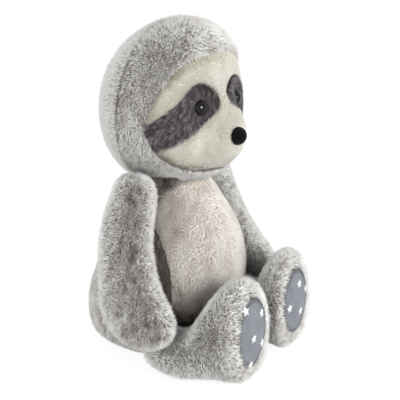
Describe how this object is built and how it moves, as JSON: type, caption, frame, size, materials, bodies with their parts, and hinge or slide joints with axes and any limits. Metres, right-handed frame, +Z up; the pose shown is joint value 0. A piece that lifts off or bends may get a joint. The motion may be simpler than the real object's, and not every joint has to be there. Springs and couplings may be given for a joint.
{
  "type": "plush sloth",
  "caption": "Seated plush sloth with a hooded pale face, dark eye patches, drooping arms and short legs; the head turns and nods, the arms lift and the legs swing at the hips.",
  "frame": {"origin": "On the surface that the toy sits on, under the neck.", "axes": "+Z is up, the toy faces -Y and its own left side is at +X."},
  "size_m": [0.2054, 0.1821, 0.2764],
  "materials": {
    "grey_fur": "long mottled pile",
    "pale_plush": "short pile",
    "belly_plush": "medium pile",
    "dark_plush": "short brushed pile",
    "sole_cloth": "matt cloth with printed stars",
    "black_gloss": "polished",
    "black_flock": "flocked",
    "white_nylon": "satin",
    "fibre": "loose fibre",
    "calico": "plain weave"
  },
  "bodies": {
    "torso": {"torso_skin": "grey_fur", "belly_panel": "belly_plush", "torso_stuffing": "fibre", "pellet_bag": "calico"},
    "neck": {"neck_thread": "white_nylon"},
    "head": {"head_back": "grey_fur", "hood_band": "grey_fur", "face_panel": "pale_plush", "eye_patch_left": "dark_plush", "eye_patch_right": "dark_plush", "eye_left": "black_gloss", "eye_right": "black_gloss", "eye_washer_left": "white_nylon", "eye_washer_right": "white_nylon", "nose": "black_flock", "nose_washer": "white_nylon", "head_stuffing": "fibre"},
    "arm_left": {"arm_left": "grey_fur", "arm_stuffing_left": "fibre"},
    "leg_left": {"leg_left": "grey_fur", "foot_pad_left": "sole_cloth", "leg_stuffing_left": "fibre"},
    "arm_right": {"arm_right": "grey_fur", "arm_stuffing_right": "fibre"},
    "leg_right": {"leg_right": "grey_fur", "foot_pad_right": "sole_cloth", "leg_stuffing_right": "fibre"}
  },
  "joints": [
    {"name": "neck_turn", "type": "hinge", "parent": "torso", "child": "neck", "pos_m": [0, 0, 0.128], "axis": [0, 0, 1], "range_deg": [-20, 20], "stiffness_Nm_per_rad": 0.5},
    {"name": "head_nod", "type": "hinge", "parent": "neck", "child": "head", "pos_m": [0, 0, 0.128], "axis": [1, 0, 0], "range_deg": [-4, 12], "stiffness_Nm_per_rad": 1},
    {"name": "left_arm_lift", "type": "hinge", "parent": "torso", "child": "arm_left", "pos_m": [0.0529, 0.001, 0.143], "axis": [-0.1736, -0.9848, 0], "range_deg": [0, 80]},
    {"name": "left_leg_drop", "type": "hinge", "parent": "torso", "child": "leg_left", "pos_m": [0.0615, -0.034, 0.0215], "axis": [1, 0, 0], "range_deg": [0, 65], "stiffness_Nm_per_rad": 0.2},
    {"name": "right_arm_lift", "type": "hinge", "parent": "torso", "child": "arm_right", "pos_m": [-0.0529, 0.001, 0.143], "axis": [-0.1736, 0.9848, 0], "range_deg": [0, 80]},
    {"name": "right_leg_drop", "type": "hinge", "parent": "torso", "child": "leg_right", "pos_m": [-0.0615, -0.034, 0.0215], "axis": [1, 0, 0], "range_deg": [0, 65], "stiffness_Nm_per_rad": 0.2}
  ]
}
